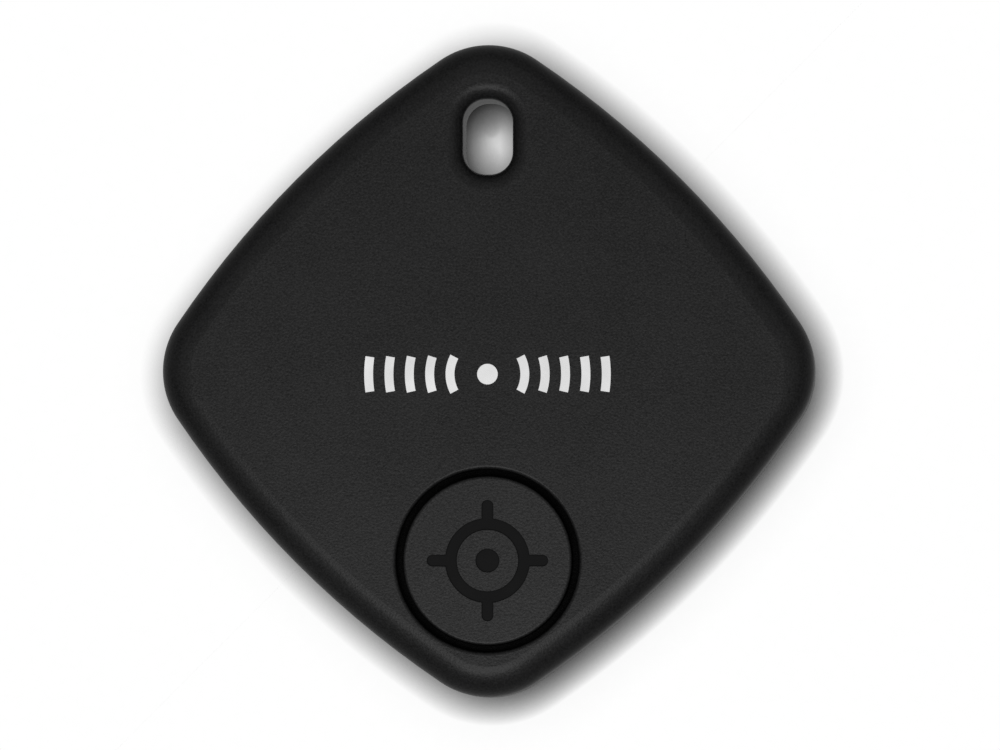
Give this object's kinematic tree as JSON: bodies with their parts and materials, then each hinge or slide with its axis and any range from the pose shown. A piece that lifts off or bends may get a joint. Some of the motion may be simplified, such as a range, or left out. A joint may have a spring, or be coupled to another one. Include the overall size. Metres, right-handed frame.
{
  "type": "bluetooth tracker tag",
  "caption": "Rounded diamond tracker tag with a key-ring slot, a round push button and snap-together shells over a coin cell, circuit board and piezo sounder.",
  "frame": {"origin": "middle of the flat back face, under the middle of the diamond", "axes": "+Z out of the front face, +Y from the button corner to the key-ring slot corner, +X to the right seen from the front"},
  "size_m": [0.0456, 0.0456, 0.008],
  "materials": {
    "shell_plastic": "fine matt moulded grain, soft-touch black",
    "button_plastic": "fine matt moulded grain, black",
    "seal_elastomer": "dark grey silicone, satin",
    "foam": "black closed-cell foam",
    "tray_plastic": "natural unpigmented engineering plastic",
    "board_laminate": "glass-epoxy board under green solder mask",
    "black_resin": "moulded component resin",
    "white_ceramic": "fired ceramic, matt",
    "tan_ceramic": "capacitor ceramic with tinned ends",
    "ferrite": "sintered ferrite, matt",
    "plated_steel": "nickel plated, bright",
    "cell_steel": "stainless steel with a fine turned brush",
    "sounder_brass": "thin rolled brass, satin",
    "glue": "translucent cured adhesive",
    "cathode_mass": "pressed manganese dioxide, matt",
    "lithium": "soft silvery metal"
  },
  "bodies": {
    "rear_half": {"rear_cover": "shell_plastic", "perimeter_gasket": "seal_elastomer", "slot_seal_ring": "seal_elastomer", "battery_foam_pad": "foam"},
    "front_half": {"front_shell": "shell_plastic", "button_seal_pad": "seal_elastomer", "battery_tray": "tray_plastic", "piezo_plate": "sounder_brass", "piezo_ceramic": "white_ceramic", "piezo_adhesive_ring": "glue", "buzzer_spring_outer": "sounder_brass", "buzzer_spring_inner": "sounder_brass", "circuit_board": "board_laminate", "negative_contact_spring": "plated_steel", "positive_contact_clip": "plated_steel", "switch_housing": "black_resin", "switch_cover_plate": "plated_steel", "switch_dome": "plated_steel", "radio_chip": "black_resin", "main_crystal": "plated_steel", "clock_crystal": "plated_steel", "chip_antenna": "white_ceramic", "boost_inductor": "ferrite", "driver_transistor": "black_resin", "capacitor_1": "tan_ceramic", "capacitor_2": "tan_ceramic", "capacitor_3": "tan_ceramic", "capacitor_4": "tan_ceramic", "capacitor_5": "tan_ceramic", "capacitor_6": "tan_ceramic", "resistor_1": "black_resin", "resistor_2": "black_resin", "resistor_3": "black_resin", "tray_screw_1": "plated_steel", "tray_screw_2": "plated_steel", "tray_screw_3": "plated_steel", "tray_screw_4": "plated_steel"},
    "button": {"button_cap": "button_plastic"},
    "plunger": {"switch_plunger": "black_resin"},
    "coin_cell": {"battery_can": "cell_steel", "battery_cap": "cell_steel", "battery_seal_ring": "seal_elastomer", "battery_cathode": "cathode_mass", "battery_anode": "lithium"}
  },
  "joints": [
    {"name": "case_opening", "type": "hinge", "parent": "rear_half", "child": "front_half", "pos_m": [0, -0.02279, 0.0026], "axis": [1, 0, 0], "range_deg": [0, 70]},
    {"name": "battery_release", "type": "slide", "parent": "front_half", "child": "coin_cell", "axis": [0, 0, -1], "range_m": [0, 0.01]},
    {"name": "button_press", "type": "slide", "parent": "front_half", "child": "button", "axis": [0, 0, -1], "range_m": [0, 0.00025], "deforming": ["button_seal_pad"]},
    {"name": "plunger_press", "type": "slide", "parent": "front_half", "child": "plunger", "axis": [0, 0, -1], "range_m": [0, 0.00025], "deforming": ["switch_dome"]}
  ],
  "couplings": [
    {"joint": "battery_release", "follows": "case_opening", "m_per_rad": 0.008},
    {"joint": "plunger_press", "follows": "button_press", "ratio": 1}
  ]
}
